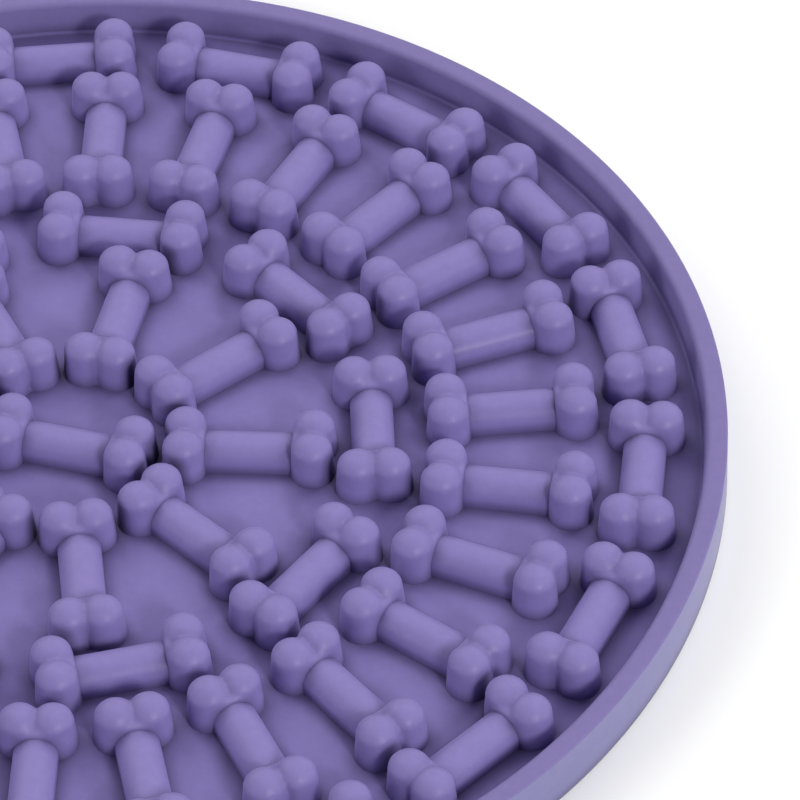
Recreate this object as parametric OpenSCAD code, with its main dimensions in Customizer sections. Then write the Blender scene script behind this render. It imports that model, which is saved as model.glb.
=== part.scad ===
// Round lick mat: a shallow tray whose floor carries rings of raised bone shapes.
// Millimetres, +Z up. The origin lies on the resting face, at the centre of the mat,
// and the middle bone lies along X.

/* [Floor and rim] */
// Thickness of the floor
floor_t = 3; // [1.5:0.1:5]
// Height of the rim above the resting face
rim_h = 9; // [7:0.1:14]
// Width of the rim's top, with its rounded edges
rim_w = 3.3; // [2:0.1:6]
// Lean of the rim's inner wall, from its foot to its top
rim_lean = 0.35; // [0:0.05:1]
// Radius of the rim's inner top edge
rim_inner_round = 1; // [0.3:0.1:1]
// Radius of the rim's outer top edge
rim_outer_round = 0.5; // [0.2:0.1:0.9]
// Radius of the outer edge on the resting face
rim_foot_round = 0.3; // [0.1:0.1:0.8]

/* [Bones] */
// Distance between the two pairs of knobs of a bone
bone_span = 19.6; // [15:0.1:26]
// Distance between the two knobs of a pair
knob_pitch = 4.9; // [4:0.1:6]
// Diameter of a knob's domed top
knob_d = 6.5; // [5:0.1:8]
// Height of a knob above the floor
knob_h = 7.15; // [5:0.05:12]
// Widening of a knob from its dome to its foot, on each side
knob_flare = 0.25; // [0:0.05:0.5]
// Radius of the round saddle that joins the two knobs of a pair
saddle_r = 2.3; // [1.5:0.1:2.4]
// Drop of the saddle's top below the tops of the knobs
saddle_drop = 1.9; // [0.5:0.05:2.2]
// Distance of the saddle's axis from the knobs' axes, towards the shaft
saddle_set = 1; // [0:0.05:1.2]
// Width of a bone's shaft
shaft_w = 6.6; // [4:0.1:7.4]
// Height of a bone's shaft above the floor
shaft_h = 4.5; // [3.8:0.1:4.9]

/* [Rings] */
// Clearance between the middle bone and the first ring
first_gap = 0.8; // [0.4:0.1:4]
// Clearance between the first ring and the second
second_gap = 0.4; // [0.2:0.1:4]
// Clearance between the second ring and the third
third_gap = 1.2; // [0.4:0.1:4]
// Clearance between the third ring and the fourth
fourth_gap = 1; // [0.4:0.1:4]
// Clearance between the fourth ring and the rim's inner wall
rim_gap = 2.6; // [1:0.1:6]
// Least clearance between neighbouring bones of one ring
side_gap = 0.4; // [0.2:0.1:2]
// Turn of the first ring from X
first_turn = 12.5; // [0:0.5:40]
// Turn of the second ring from X
second_turn = 18; // [0:0.5:40]
// Turn of the third ring from X
third_turn = 7; // [0:0.5:14]
// Turn of the fourth ring from X
fourth_turn = 10; // [0:0.5:20]

/* [Hidden] */
// Bones in each ring
first_count = 9;
second_count = 9;
third_count = 26;
fourth_count = 18;
// Bones of the fourth ring that share one sub-part
fourth_share_count = 2;
fourth_sets = fourth_count / fourth_share_count;

purple = [0.53, 0.45, 0.74];
rim_purple = [0.56, 0.49, 0.77];
round_steps = 6;
full_turn = 360;
quarter_turn = 90;
$fn = 64;

knob_r = knob_d / 2;
foot_r = knob_r + knob_flare;
foot_d = 2 * foot_r;
half_span = bone_span / 2;
half_pitch = knob_pitch / 2;
dome_z = knob_h - knob_r;
shaft_r = shaft_w / 2;
saddle_x = half_span - saddle_set;
saddle_z = knob_h - saddle_drop - saddle_r;

// Each ring starts where the feet of the ring inside it end, plus its clearance.
// A ring of radial bones points its ends at the centre, a ring of crosswise bones its sides.
// The reach of a ring is the distance of its outermost knobs from the centre.
function out_reach(along, across) = sqrt(pow(along, 2) + pow(across, 2));
function in_reach(reach, across) = sqrt(pow(reach, 2) - pow(across, 2));
function room_for(count, half_width) =
    (foot_d + side_gap + 2 * half_width * cos(full_turn / 2 / count)) / (2 * sin(full_turn / 2 / count));
function radial_ring(reach, gap, count) =
    half_span + max(in_reach(reach + foot_d + gap, half_pitch), room_for(count, half_pitch));
function cross_ring(reach, gap, count) =
    half_pitch + max(in_reach(reach + foot_d + gap, half_span), room_for(count, half_span));

middle_reach = out_reach(half_span, half_pitch);
first_r = radial_ring(middle_reach, first_gap, first_count);
first_reach = out_reach(first_r + half_span, half_pitch);
second_r = cross_ring(first_reach, second_gap, second_count);
second_reach = out_reach(second_r + half_pitch, half_span);
third_r = radial_ring(second_reach, third_gap, third_count);
third_reach = out_reach(third_r + half_span, half_pitch);
fourth_r = cross_ring(third_reach, fourth_gap, fourth_count);
fourth_reach = out_reach(fourth_r + half_pitch, half_span);

tray_r = fourth_reach + foot_r + rim_gap;
rim_inner_r = tray_r + rim_lean;
mat_r = rim_inner_r + rim_w;

// Points of a quarter circle about a centre, from one angle on
function quarter(centre, r, start) = [
    for (i = [0:round_steps])
        centre + r * [cos(start + quarter_turn * i / round_steps), sin(start + quarter_turn * i / round_steps)]
];

module tray_floor() {
    color(purple)
        cylinder(r = tray_r, h = floor_t);
}

module rim() {
    outline = concat(
        [[tray_r, 0]],
        quarter([mat_r - rim_foot_round, rim_foot_round], rim_foot_round, -quarter_turn),
        quarter([mat_r - rim_outer_round, rim_h - rim_outer_round], rim_outer_round, 0),
        quarter([rim_inner_r + rim_inner_round, rim_h - rim_inner_round], rim_inner_round, quarter_turn),
        [[tray_r, floor_t]]
    );
    color(rim_purple)
        rotate_extrude()
            polygon(outline);
}

module knob() {
    cylinder(r1 = foot_r, r2 = knob_r, h = dome_z);
    translate([0, 0, dome_z])
        sphere(r = knob_r);
}

module saddle() {
    translate([saddle_x, 0, saddle_z])
        rotate([quarter_turn, 0, 0])
            cylinder(r = saddle_r, h = knob_pitch, center = true);
    translate([saddle_x - saddle_r, -half_pitch, 0])
        cube([2 * saddle_r, knob_pitch, saddle_z]);
}

module bone_end() {
    for (side = [-1, 1])
        translate([half_span, side * half_pitch, 0])
            knob();
    saddle();
}

module shaft() {
    translate([0, 0, shaft_h - shaft_r])
        rotate([0, quarter_turn, 0])
            cylinder(r = shaft_r, h = bone_span, center = true);
    translate([-half_span, -shaft_r, 0])
        cube([bone_span, shaft_w, shaft_h - shaft_r]);
}

// One bone along X, standing on the floor
module bone() {
    color(purple)
        translate([0, 0, floor_t])
            intersection() {
                union() {
                    bone_end();
                    mirror([1, 0, 0])
                        bone_end();
                    shaft();
                }
                translate([-bone_span, -bone_span, 0])
                    cube([2 * bone_span, 2 * bone_span, 2 * knob_h]);
            }
}

module radial_bone(r, turn) {
    rotate([0, 0, turn])
        translate([r, 0, 0])
            bone();
}

module cross_bone(r, turn) {
    rotate([0, 0, turn])
        translate([r, 0, 0])
            rotate([0, 0, quarter_turn])
                bone();
}

module first_ring_bone(i) {
    radial_bone(first_r, first_turn + (i - 1) * full_turn / first_count);
}

module second_ring_bone(i) {
    cross_bone(second_r, second_turn + (i - 1) * full_turn / second_count);
}

module third_ring_bone(i) {
    radial_bone(third_r, third_turn + (i - 1) * full_turn / third_count);
}

// Neighbouring bones of the fourth ring, as separate solids
module fourth_ring_bones(i) {
    for (k = [0:fourth_share_count - 1])
        cross_bone(fourth_r, fourth_turn + ((i - 1) * fourth_share_count + k) * full_turn / fourth_count);
}

tray_floor();
rim();
bone();  // middle_bone
for (i = [1:first_count])
    first_ring_bone(i);
for (i = [1:second_count])
    second_ring_bone(i);
for (i = [1:third_count])
    third_ring_bone(i);
for (i = [1:fourth_sets])
    fourth_ring_bones(i);
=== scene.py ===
# %% [markdown]
# A round silicone lick mat
# The mat is one soft moulding: a shallow tray with a raised rim, and rings of small bones that
# stand on its floor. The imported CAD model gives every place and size. This script dresses it:
# a finer floor, a finer rim and 63 softly blended bones, in matte silicone under studio light.

# %% Load the frame
import math

import bmesh
import bpy
from mathutils import Matrix, Vector


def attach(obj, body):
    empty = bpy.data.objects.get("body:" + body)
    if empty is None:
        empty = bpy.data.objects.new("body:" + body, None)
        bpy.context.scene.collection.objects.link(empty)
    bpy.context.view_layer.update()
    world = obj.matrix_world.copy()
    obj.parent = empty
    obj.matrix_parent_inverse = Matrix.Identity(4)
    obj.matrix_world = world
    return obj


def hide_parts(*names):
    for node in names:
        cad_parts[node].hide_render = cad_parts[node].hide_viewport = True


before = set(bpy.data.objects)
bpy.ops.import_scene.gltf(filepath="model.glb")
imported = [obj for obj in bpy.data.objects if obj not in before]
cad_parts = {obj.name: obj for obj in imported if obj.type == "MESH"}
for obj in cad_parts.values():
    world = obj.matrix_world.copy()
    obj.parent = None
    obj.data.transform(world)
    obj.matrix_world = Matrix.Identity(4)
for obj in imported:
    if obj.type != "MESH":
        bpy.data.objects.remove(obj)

MM = 0.001
FULL_TURN = 2 * math.pi
scene = bpy.context.scene
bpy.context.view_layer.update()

# %% [markdown]
# The camera
# The photograph is a close-up: it looks down at the right half of the mat from about 45 degrees,
# through a long lens from nearly a metre away, so that the bones at the back look hardly smaller
# than those in front. The camera could be placed by hand, but a turntable description is
# easier to read: a point to look at, an azimuth, an elevation, a distance and a small roll.

# %% Camera
AIM = Vector((46.72, 19.94, 6.9)) * MM
AZIMUTH, ELEVATION, ROLL = (math.radians(a) for a in (17.98, 45.71, 2.64))
DISTANCE = 832.4 * MM
LENS = 245.7

back = Vector((math.sin(AZIMUTH) * math.cos(ELEVATION),
               -math.cos(AZIMUTH) * math.cos(ELEVATION),
               math.sin(ELEVATION)))
camera = bpy.data.objects.new("camera", bpy.data.cameras.new("camera"))
scene.collection.objects.link(camera)
camera.data.lens = LENS
camera.data.sensor_width = 36
camera.data.clip_start = 0.05
camera.data.clip_end = 20
camera.rotation_mode = "QUATERNION"
camera.location = AIM + back * DISTANCE
camera.rotation_quaternion = ((-back).to_track_quat("-Z", "Y")
                              @ Matrix.Rotation(-ROLL, 3, "Z").to_quaternion())
scene.camera = camera
print("camera at", [round(v, 3) for v in camera.location], "m, lens", LENS, "mm")

# %% [markdown]
# The studio
# The real mat was shot on white. A big pale floor gives it something to lie on and throws light
# up onto its outer wall, which is why that wall looks paler than the rest. The background has to
# look white without pouring more light on the mat, so both the floor and the world are paler for
# rays that come straight from the camera, or by way of a reflection, than for the rays that
# carry light. The floor still takes the mat's shadow. It lies a hair below the mat, because two
# faces in exactly the same place would flicker through each other.

# %% Helpers for materials and meshes


def link(name, mesh):
    """A new object in the scene that shows the mesh."""
    obj = bpy.data.objects.new(name, mesh)
    scene.collection.objects.link(obj)
    return obj


def mesh_from(bm, name):
    """A mesh with the bmesh's faces. The bmesh is freed."""
    mesh = bpy.data.meshes.new(name)
    bm.to_mesh(mesh)
    bm.free()
    return mesh


def new_material(name):
    """A material with an empty node tree, but for its output."""
    material = bpy.data.materials.new(name)
    material.use_nodes = True
    tree = material.node_tree
    tree.nodes.clear()
    output = tree.nodes.new("ShaderNodeOutputMaterial")
    return material, tree, output


def looked_at(tree):
    """A socket that is 1 for rays that look at a surface, and 0 for rays that gather light."""
    rays = tree.nodes.new("ShaderNodeLightPath")
    total = rays.outputs["Is Camera Ray"]
    for kind in ("Is Glossy Ray", "Is Transmission Ray"):
        add = tree.nodes.new("ShaderNodeMath")
        add.use_clamp = True
        tree.links.new(total, add.inputs[0])
        tree.links.new(rays.outputs[kind], add.inputs[1])
        total = add.outputs[0]
    return total


# %% Studio floor
# Half the paper's side in metres, its drop below the mat, its white, and its lift when looked at
FLOOR_HALF = 2.0
FLOOR_DROP = 0.05 * MM
FLOOR_WHITE = 0.88
FLOOR_LIFT = 0.12

bm = bmesh.new()
bmesh.ops.create_grid(bm, x_segments=1, y_segments=1, size=FLOOR_HALF)
bmesh.ops.translate(bm, vec=(0, 0, -FLOOR_DROP), verts=bm.verts)
studio_floor = link("studio_floor", mesh_from(bm, "studio_floor"))

paper, tree, output = new_material("white_paper")
diffuse = tree.nodes.new("ShaderNodeBsdfDiffuse")
diffuse.inputs["Color"].default_value = (FLOOR_WHITE, FLOOR_WHITE, FLOOR_WHITE, 1)
lift = tree.nodes.new("ShaderNodeEmission")
lift_level = tree.nodes.new("ShaderNodeMath")
lift_level.operation = "MULTIPLY"
lift_level.inputs[1].default_value = FLOOR_LIFT
tree.links.new(looked_at(tree), lift_level.inputs[0])
tree.links.new(lift_level.outputs[0], lift.inputs["Strength"])
both = tree.nodes.new("ShaderNodeAddShader")
tree.links.new(diffuse.outputs[0], both.inputs[0])
tree.links.new(lift.outputs[0], both.inputs[1])
tree.links.new(both.outputs[0], output.inputs["Surface"])
studio_floor.data.materials.append(paper)
print("studio floor:", 2 * FLOOR_HALF, "m across")

# %% World
WORLD_LEVEL = 0.06

world = bpy.data.worlds.new("soft_white")
scene.world = world
world.use_nodes = True
tree = world.node_tree
tree.nodes.clear()
world_output = tree.nodes.new("ShaderNodeOutputWorld")
light_world = tree.nodes.new("ShaderNodeBackground")
light_world.inputs["Strength"].default_value = WORLD_LEVEL
seen_world = tree.nodes.new("ShaderNodeBackground")
seen_world.inputs["Strength"].default_value = 1
choose = tree.nodes.new("ShaderNodeMixShader")
tree.links.new(looked_at(tree), choose.inputs["Fac"])
tree.links.new(light_world.outputs[0], choose.inputs[1])
tree.links.new(seen_world.outputs[0], choose.inputs[2])
tree.links.new(choose.outputs[0], world_output.inputs["Surface"])
scene.view_settings.view_transform = "Standard"
print("world: level", WORLD_LEVEL, "for the light that it gives")

# %% [markdown]
# The lamps
# In the photograph the tops of the bones are bright, their sides darker all round, and the
# corners between them nearly black. Soft light does that when it comes from several sides. So
# four wide lamps stand round the mat. They are left out of reflections, because they would draw
# pale edges along the backs of the bones that the real mat doesn't show.
#
# A smaller key lamp on the right does show in reflections. The photograph tells where it stands,
# because one shaft has a thin bright streak. A round bar shows a streak when it lies square to
# the direction halfway between the lamp and the camera, and the streak's height on the bar gives
# the lamp's elevation. The same lamp puts a faint spot on each knob.
#
# A lamp's strength is given as a level that is easy to reason about: how bright a white sheet
# looks that faces the lamp, where 1 is pure white. On a flat surface the lamps add up to about
# 1, so that a colour renders about as it is written.

# %% Lamps
LAMP_DISTANCE = 1.6


def soft_lamp(name, azimuth, elevation, size, level, reflected=False):
    """A round lamp that faces the mat, azimuth 0 in front of it and 90 on its right."""
    azimuth, elevation = math.radians(azimuth), math.radians(elevation)
    towards = Vector((math.sin(azimuth) * math.cos(elevation),
                      -math.cos(azimuth) * math.cos(elevation),
                      math.sin(elevation)))
    lamp = bpy.data.objects.new(name, bpy.data.lights.new(name, "AREA"))
    scene.collection.objects.link(lamp)
    lamp.data.shape = "DISK"
    lamp.data.size = size
    # A white sheet that faces a disc lamp looks as bright as the lamp's power, divided by the
    # square of pi and by the sum of the squares of the distance and the disc's radius.
    lamp.data.energy = level * math.pi ** 2 * (LAMP_DISTANCE ** 2 + (size / 2) ** 2)
    lamp.visible_glossy = reflected
    lamp.location = towards * LAMP_DISTANCE
    lamp.rotation_mode = "QUATERNION"
    lamp.rotation_quaternion = (-towards).to_track_quat("-Z", "Y")
    print(name, round(lamp.data.energy, 1), "W")


soft_lamp("key_lamp", azimuth=48, elevation=31, size=0.35, level=0.39, reflected=True)
soft_lamp("right_lamp", azimuth=90, elevation=33, size=1.3, level=0.38)
soft_lamp("back_lamp", azimuth=165, elevation=43, size=1.2, level=0.35)
soft_lamp("back_left_lamp", azimuth=236, elevation=43, size=1.2, level=0.37)
soft_lamp("left_lamp", azimuth=312, elevation=24, size=0.9, level=0.29)

# %% [markdown]
# Silicone
# Moulded silicone is matte to satin: it takes the fine grain of its mould. A Principled shader
# with a purple base and a low index of refraction does most of it. Three noises break up the
# evenness: a broad faint one in the colour and the gloss, a mottle about 1.5 mm across, and a
# fine grain in the bump that softens the highlights. The colour also carries painted shade in
# narrow corners: an Ambient Occlusion node finds those corners, and its value multiplies the
# colour there, so that they render darker than the bounce light alone makes them.
#
# The roughness stays above 0.3. With a smoother surface, about 0.27, the knobs' spots grow
# too sharp, and the denoised picture shows faint lines where the roughness changes.

# %% Helpers for the silicone


def noise(tree, place, waves, detail):
    """A noise of that many waves a metre, on the piece's own coordinates."""
    node = tree.nodes.new("ShaderNodeTexNoise")
    node.inputs["Scale"].default_value = waves
    node.inputs["Detail"].default_value = detail
    tree.links.new(place.outputs["Object"], node.inputs["Vector"])
    return node.outputs["Fac"]


def multiplied(tree, colour, factor):
    """A colour socket times a factor socket."""
    node = tree.nodes.new("ShaderNodeMix")
    node.data_type = "RGBA"
    node.blend_type = "MULTIPLY"
    node.inputs["Factor"].default_value = 1
    tree.links.new(colour, node.inputs["A"])
    tree.links.new(factor, node.inputs["B"])
    return node.outputs["Result"]


def spread(tree, value, middle, reach):
    """A value from 0 to 1 mapped to a range about a middle."""
    node = tree.nodes.new("ShaderNodeMapRange")
    node.inputs["To Min"].default_value = middle - reach
    node.inputs["To Max"].default_value = middle + reach
    tree.links.new(value, node.inputs["Value"])
    return node.outputs["Result"]


# %% One silicone
SILICONE_IOR = 1.41
# Waves of the three noises in a metre
BROAD_WAVES = 60
MOTTLE_WAVES = 700
GRAIN_WAVES = 3000
# How far the colour's two tints, its mottle and the roughness go up and down
TINT_SPREAD = 0.03
MOTTLE_SPREAD = 0.07
ROUGHNESS_SPREAD = 0.04
# The bump's grain
GRAIN_STRENGTH = 0.8
GRAIN_HEIGHT = 0.04 * MM
# The painted shade in corners: how near a wall has to be, how much it darkens, and the rays that
# look for it
PAINTED_SHADE_REACH = 2.5 * MM
PAINTED_SHADE_DEPTH = 0.9
PAINTED_SHADE_RAYS = 8


def silicone(name, colour, roughness, shine):
    """Moulded silicone of one colour, with painted shade in its corners. The shine is its specular
    level.
    """
    material, tree, output = new_material(name)
    shader = tree.nodes.new("ShaderNodeBsdfPrincipled")
    shader.inputs["IOR"].default_value = SILICONE_IOR
    shader.inputs["Specular IOR Level"].default_value = shine
    tree.links.new(shader.outputs[0], output.inputs["Surface"])
    place = tree.nodes.new("ShaderNodeTexCoord")
    broad = noise(tree, place, BROAD_WAVES, detail=3)
    fine = noise(tree, place, MOTTLE_WAVES, detail=4)
    grain = noise(tree, place, GRAIN_WAVES, detail=2)

    tint = tree.nodes.new("ShaderNodeMix")
    tint.data_type = "RGBA"
    tint.inputs["A"].default_value = (*[c * (1 - TINT_SPREAD) for c in colour], 1)
    tint.inputs["B"].default_value = (*[c * (1 + TINT_SPREAD) for c in colour], 1)
    tree.links.new(broad, tint.inputs["Factor"])
    mottle = spread(tree, fine, 1, MOTTLE_SPREAD)
    mottled = multiplied(tree, tint.outputs["Result"], mottle)

    # Painted shade: ambient occlusion darkens the base colour in narrow corners
    corner = tree.nodes.new("ShaderNodeAmbientOcclusion")
    corner.samples = PAINTED_SHADE_RAYS
    corner.inputs["Distance"].default_value = PAINTED_SHADE_REACH
    depth = tree.nodes.new("ShaderNodeMath")
    depth.operation = "POWER"
    depth.inputs[1].default_value = PAINTED_SHADE_DEPTH
    tree.links.new(corner.outputs["AO"], depth.inputs[0])
    tree.links.new(multiplied(tree, mottled, depth.outputs[0]), shader.inputs["Base Color"])
    gloss = spread(tree, broad, roughness, ROUGHNESS_SPREAD)
    tree.links.new(gloss, shader.inputs["Roughness"])

    bump = tree.nodes.new("ShaderNodeBump")
    bump.inputs["Strength"].default_value = GRAIN_STRENGTH
    bump.inputs["Distance"].default_value = GRAIN_HEIGHT
    tree.links.new(grain, bump.inputs["Height"])
    tree.links.new(bump.outputs["Normal"], shader.inputs["Normal"])
    return material


# %% Four silicones
# All four colours are one silicone. The bones' colour is painted lighter than the floor's and the
# rim's:  painted light, standing in for the extra brightness of the bones that the lamps don't
# give.
bone_painted_light_colour = (0.245, 0.2, 0.466)
floor_colour = (0.227, 0.185, 0.438)
rim_colour = (0.214, 0.176, 0.391)
# The wall's colour is paler and bluer than the rim's: painted reflection of the pale floor
wall_painted_sheen_colour = (0.213, 0.204, 0.404)
bone_silicone = silicone("bone_silicone", bone_painted_light_colour, roughness=0.37, shine=0.27)
floor_silicone = silicone("floor_silicone", floor_colour, roughness=0.35, shine=0.2)
rim_silicone = silicone("rim_silicone", rim_colour, roughness=0.4, shine=0.2)
wall_silicone_painted_sheen = silicone("wall_silicone_painted_sheen", wall_painted_sheen_colour, roughness=0.35, shine=0.4)
for finish in (bone_silicone, floor_silicone, rim_silicone, wall_silicone_painted_sheen):
    print(finish.name, "has", len(finish.node_tree.nodes), "nodes")

# %% [markdown]
# The tray's floor
# The floor is a flat disc, 3 mm thick, that turns up into the rim with a tiny fillet, because a
# mould is never quite sharp in a corner. A disc from a cylinder would have a hard edge there, so
# an outline is drawn from the middle to the edge instead, and spun round the centre.

# %% Helpers for round pieces
ROUND_STEPS = 8
TURN_STEPS = 288
# Corners nearer than this are merged
MERGE = 0.001 * MM


def arc(centre, radius, start, end, steps=ROUND_STEPS):
    """Points of an arc in the plane of radius and height, angles in degrees."""
    turns = [math.radians(start + (end - start) * i / steps) for i in range(steps + 1)]
    return [(centre[0] + radius * math.cos(t), centre[1] + radius * math.sin(t)) for t in turns]


def spun(outline, name):
    """A solid of revolution round Z from a closed outline of (radius, height) points."""
    bm = bmesh.new()
    verts = [bm.verts.new((r, 0, z)) for r, z in outline]
    edges = [bm.edges.new(pair) for pair in zip(verts, verts[1:])]
    edges.append(bm.edges.new((verts[-1], verts[0])))
    bmesh.ops.spin(bm, geom=verts + edges, cent=(0, 0, 0), axis=(0, 0, 1), dvec=(0, 0, 0),
                   angle=FULL_TURN, steps=TURN_STEPS, use_merge=True, use_duplicate=False)
    bmesh.ops.remove_doubles(bm, verts=bm.verts, dist=MERGE)
    bmesh.ops.recalc_face_normals(bm, faces=bm.faces)
    for face in bm.faces:
        face.smooth = True
    return mesh_from(bm, name)


# %% Tray floor
FLOOR_T = 3 * MM
TRAY_R = 96.36 * MM
CORNER_FILLET = 0.5 * MM
FLOOR_BANDS = 6
# Faces that meet at more than this show an edge
SHARP = math.radians(35)

fillet_foot = TRAY_R - CORNER_FILLET
outline = [(0, 0), (0, FLOOR_T)]
outline += [(fillet_foot * i / FLOOR_BANDS, FLOOR_T) for i in range(1, FLOOR_BANDS)]
outline += arc((fillet_foot, FLOOR_T + CORNER_FILLET), CORNER_FILLET, -90, 0)
outline += [(TRAY_R, 0)]
tray_floor = link("tray_floor_piece", spun(outline, "tray_floor_piece"))
tray_floor.data.materials.append(floor_silicone)
tray_floor.data.set_sharp_from_angle(angle=SHARP)
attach(tray_floor, "root")
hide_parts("tray_floor")
print("tray floor:", len(tray_floor.data.polygons), "faces")

# %% [markdown]
# The rim
# The rim is one ring with a flat top. Its inner top edge is softly rounded, its outer one less,
# and its inner wall leans out a little so that the mat leaves its mould. It is spun from its
# cross-section, like the floor. The outer wall gets a material of its own, with more shine and
# a colour painted paler and bluer than the top's: painted reflection of the pale floor.

# %% Rim
MAT_R = 100.01 * MM
RIM_H = 9 * MM
RIM_LEAN = 0.35 * MM
INNER_ROUND = 1.0 * MM
OUTER_ROUND = 0.35 * MM
FOOT_ROUND = 0.3 * MM
# Faces this near the mat's edge, below its rounding, are the outer wall
WALL_DEPTH = 0.2 * MM

inner_top = TRAY_R + RIM_LEAN
outline = [(TRAY_R, 0)]
outline += arc((MAT_R - FOOT_ROUND, FOOT_ROUND), FOOT_ROUND, -90, 0)
outline += arc((MAT_R - OUTER_ROUND, RIM_H - OUTER_ROUND), OUTER_ROUND, 0, 90)
outline += arc((inner_top + INNER_ROUND, RIM_H - INNER_ROUND), INNER_ROUND, 90, 180)
outline += [(TRAY_R, FLOOR_T + CORNER_FILLET)]
rim = link("rim_piece", spun(outline, "rim_piece"))
rim.data.materials.append(rim_silicone)
rim.data.materials.append(wall_silicone_painted_sheen)
# These faces get the wall silicone, whose paler colour is painted reflection of the pale floor
for face in rim.data.polygons:
    x, y, z = face.center
    if math.hypot(x, y) > MAT_R - WALL_DEPTH and z < RIM_H - OUTER_ROUND:
        face.material_index = 1
rim.data.set_sharp_from_angle(angle=SHARP)
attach(rim, "root")
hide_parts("rim")
print("rim:", len(rim.data.polygons), "faces")

# %% [markdown]
# One bone
# All 63 bones come from the same shape. Each end is a pair of posts with rounded caps, melted
# together in a soft valley, and a half-round shaft runs from pair to pair. It meets the posts
# in a crisp corner, which draws a thin dark line in soft light. So a bone needs both kinds of
# joint. The soft one is made by a voxel remesh, which turns overlapping forms into one skin, and
# a few rounds of smoothing. The crisp one is an exact boolean, made after the smoothing.
#
# A bone lies along X with its foot at height 0, and every form starts below that by the root.
# The overrun is cut off at the end, so that the bone stands flat on the floor. The forms of an
# end are two posts, a wall that the shaft butts against, and a round web between the posts.

# %% Sizes of a bone
# The posts: how far apart they stand along the bone and across it, and their own sizes
SPAN = 19.6 * MM
PITCH = 4.9 * MM
FOOT_R = 3.5 * MM
NECK_R = 3.08 * MM
CAP_R = 3.45 * MM
KNOB_H = 7.15 * MM
CAP_Z = KNOB_H - CAP_R
NECK_Z = CAP_Z + math.sqrt(CAP_R ** 2 - NECK_R ** 2)
# The wall that the shaft butts against: its distance from the bone's middle, its top and the
# rounding of its top edge
WALL_X = 6.55 * MM
WALL_TOP = 5.3 * MM
WALL_ROUND = 0.9 * MM
# The round web that fills the valley between two posts
WEB_R = 2.45 * MM
WEB_W = 1.2 * MM
WEB_Z = 3.7 * MM
# The shaft
SHAFT_W = 6.6 * MM
SHAFT_H = 4.5 * MM
SHAFT_R = SHAFT_W / 2
# How far every form goes down past its foot
ROOT = 1.5 * MM
print("a cap meets its post", round(NECK_Z / MM, 2), "mm above the floor")

# %% Forms of a bone
KNOB_STEPS = 64
CAP_STEPS = 16
CROSS = Matrix.Rotation(math.pi / 2, 4, "X")


def add_bar(bm, radius, length, centre):
    """A round bar along Y through centre."""
    bmesh.ops.create_cone(bm, cap_ends=True, segments=KNOB_STEPS, radius1=radius, radius2=radius,
                          depth=length, matrix=Matrix.Translation(centre) @ CROSS)


def add_block(bm, size, centre):
    """A block of that size about centre."""
    stretch = Matrix.Diagonal((*size, 1))
    bmesh.ops.create_cube(bm, size=1, matrix=Matrix.Translation(centre) @ stretch)


def add_knob(bm, x, y):
    """A post that narrows upwards, under a cap that is part of a ball."""
    edge = math.degrees(math.acos(NECK_R / CAP_R))
    lean = (FOOT_R - NECK_R) / NECK_Z
    outline = [(0, -ROOT), (FOOT_R + lean * ROOT, -ROOT)]
    outline += arc((0, CAP_Z), CAP_R, edge, 90, CAP_STEPS)
    verts = [bm.verts.new((x + r, y, z)) for r, z in outline]
    edges = [bm.edges.new(pair) for pair in zip(verts, verts[1:])]
    bmesh.ops.spin(bm, geom=verts + edges, cent=(x, y, 0), axis=(0, 0, 1), dvec=(0, 0, 0),
                   angle=FULL_TURN, steps=KNOB_STEPS, use_merge=True, use_duplicate=False)
    bmesh.ops.remove_doubles(bm, verts=bm.verts, dist=MERGE)


def add_wall(bm, end, start, top):
    """A wall between the posts of one end, from start to the posts' middle."""
    centre = (end * (SPAN / 2 + start) / 2, 0, (top - ROOT) / 2)
    add_block(bm, (SPAN / 2 - start, PITCH, top + ROOT), centre)


# %% Rough ends
bm = bmesh.new()
for end in (-1, 1):
    for side in (-1, 1):
        add_knob(bm, end * SPAN / 2, side * PITCH / 2)
    add_bar(bm, WALL_ROUND, PITCH, (end * (WALL_X + WALL_ROUND), 0, WALL_TOP - WALL_ROUND))
    add_wall(bm, end, WALL_X, WALL_TOP - WALL_ROUND)
    add_wall(bm, end, WALL_X + WALL_ROUND, WALL_TOP)
    add_bar(bm, WEB_R, WEB_W, (end * SPAN / 2, 0, WEB_Z))
    add_block(bm, (2 * WEB_R, WEB_W, WEB_Z + ROOT), (end * SPAN / 2, 0, (WEB_Z - ROOT) / 2))
bmesh.ops.recalc_face_normals(bm, faces=bm.faces)
rough_ends = link("rough_ends", mesh_from(bm, "rough_ends"))
print("rough ends:", len(rough_ends.data.polygons), "faces")

# %% Soft ends
VOXEL = 0.3 * MM
SOFTENING = 4


def finished(obj):
    """The mesh of an object with its modifiers applied. The object itself goes."""
    held = obj.evaluated_get(bpy.context.evaluated_depsgraph_get())
    bm = bmesh.new()
    bm.from_mesh(held.to_mesh())
    held.to_mesh_clear()
    bpy.data.objects.remove(obj)
    return bm


remesh = rough_ends.modifiers.new("skin", "REMESH")
remesh.mode = "VOXEL"
remesh.voxel_size = VOXEL
remesh.adaptivity = 0
bm = finished(rough_ends)
for _ in range(SOFTENING):
    bmesh.ops.smooth_vert(bm, verts=bm.verts, factor=0.5,
                          use_axis_x=True, use_axis_y=True, use_axis_z=True)
print("soft ends:", len(bm.faces), "faces, top at",
      round(max(v.co.z for v in bm.verts) / MM, 2), "mm above the floor")
soft_ends = link("soft_ends", mesh_from(bm, "soft_ends"))

# %% Shaft
ARCH_STEPS = 32

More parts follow.
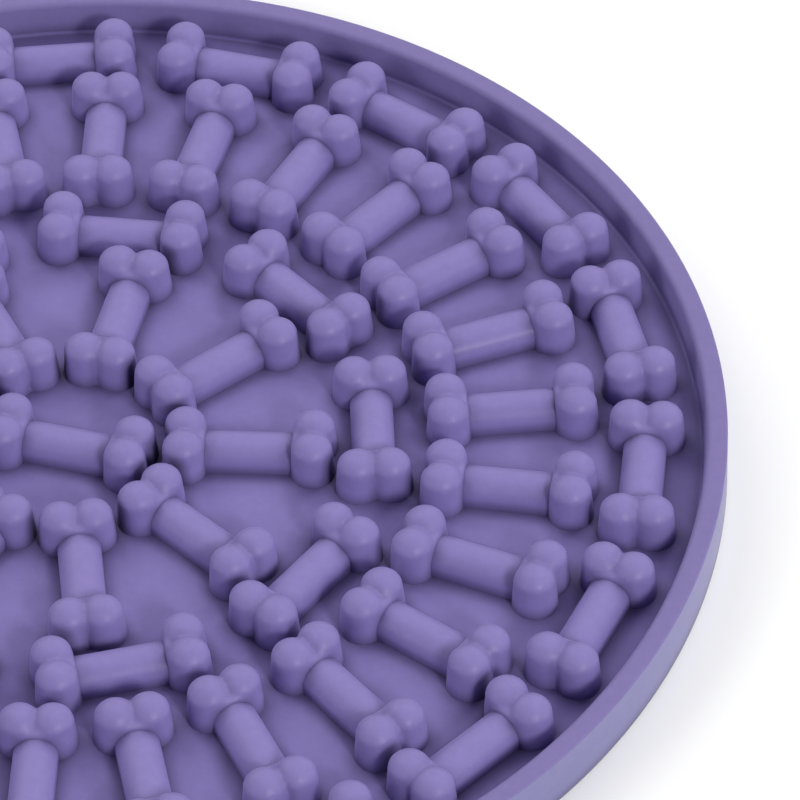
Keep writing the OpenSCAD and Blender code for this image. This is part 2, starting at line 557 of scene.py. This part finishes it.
bm = bmesh.new()
outline = [(SHAFT_R, -ROOT)]
outline += arc((0, SHAFT_H - SHAFT_R), SHAFT_R, 0, 180, ARCH_STEPS)
outline += [(-SHAFT_R, -ROOT)]
end_face = bm.faces.new([bm.verts.new((-SPAN / 2, y, z)) for y, z in outline])
grown = bmesh.ops.extrude_face_region(bm, geom=[end_face])["geom"]
far_end = [part for part in grown if isinstance(part, bmesh.types.BMVert)]
bmesh.ops.translate(bm, vec=(SPAN, 0, 0), verts=far_end)
bmesh.ops.recalc_face_normals(bm, faces=bm.faces)
shaft = link("shaft", mesh_from(bm, "shaft"))
print("shaft:", len(shaft.data.polygons), "faces")

# %% Shaft and ends joined
union = soft_ends.modifiers.new("union", "BOOLEAN")
union.operation = "UNION"
union.solver = "EXACT"
union.object = shaft
bm = finished(soft_ends)
bpy.data.objects.remove(shaft)
bmesh.ops.bisect_plane(bm, geom=bm.verts[:] + bm.edges[:] + bm.faces[:], dist=MERGE,
                       plane_co=(0, 0, 0), plane_no=(0, 0, 1), clear_inner=True)
bmesh.ops.holes_fill(bm, edges=[e for e in bm.edges if e.is_boundary], sides=0)
bmesh.ops.recalc_face_normals(bm, faces=bm.faces)
for face in bm.faces:
    face.smooth = True
print("one bone:", len(bm.faces), "faces,", sum(e.is_boundary for e in bm.edges), "open edges")
master = mesh_from(bm, "master_bone")
master.set_sharp_from_angle(angle=SHARP)

# %% [markdown]
# The rings
# One bone lies in the middle. Round it lie four rings: 9 bones that point at the centre, 9 that
# lie across, 26 that point at the centre again, and 18 that lie across. Each copy is turned and
# moved in its mesh, so that its object stays at the origin, as the CAD's own nodes do.

# %% Rings of bones
# Neighbouring bones of the fourth ring that stand in for one CAD node
SHARE = 2


def place_bone(name, node, radius, turn, across):
    """A copy of the master bone, turned and moved to its place in its ring."""
    mesh = master.copy()
    mesh.name = name
    mesh.transform(Matrix.Rotation(turn, 4, "Z")
                   @ Matrix.Translation((radius, 0, FLOOR_T))
                   @ Matrix.Rotation(math.pi / 2 if across else 0, 4, "Z"))
    bone = link(name, mesh)
    bone.data.materials.append(bone_silicone)
    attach(bone, "root")
    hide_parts(node)


def ring(title, radius, first_turn, count, across, share=1):
    """A ring of bones. Where share is 2, neighbours stand in for the same CAD node."""
    for i in range(count):
        turn = math.radians(first_turn) + FULL_TURN * i / count
        node = f"{title}_{i // share + 1}"
        name = f"{node}_{'ab'[i % share]}" if share > 1 else node
        place_bone(f"{name}_piece", node, radius, turn, across)
    print(title, "-", count, "at", round(radius / MM, 1), "mm")


place_bone("middle_bone_piece", "middle_bone", radius=0, turn=0, across=False)
ring("first_ring_bone", radius=27.53 * MM, first_turn=12.5, count=9, across=False)
ring("second_ring_bone", radius=46.18 * MM, first_turn=18, count=9, across=True)
ring("third_ring_bone", radius=67.55 * MM, first_turn=7, count=26, across=False)
ring("fourth_ring_bones", radius=87.28 * MM, first_turn=10, count=18, across=True, share=SHARE)
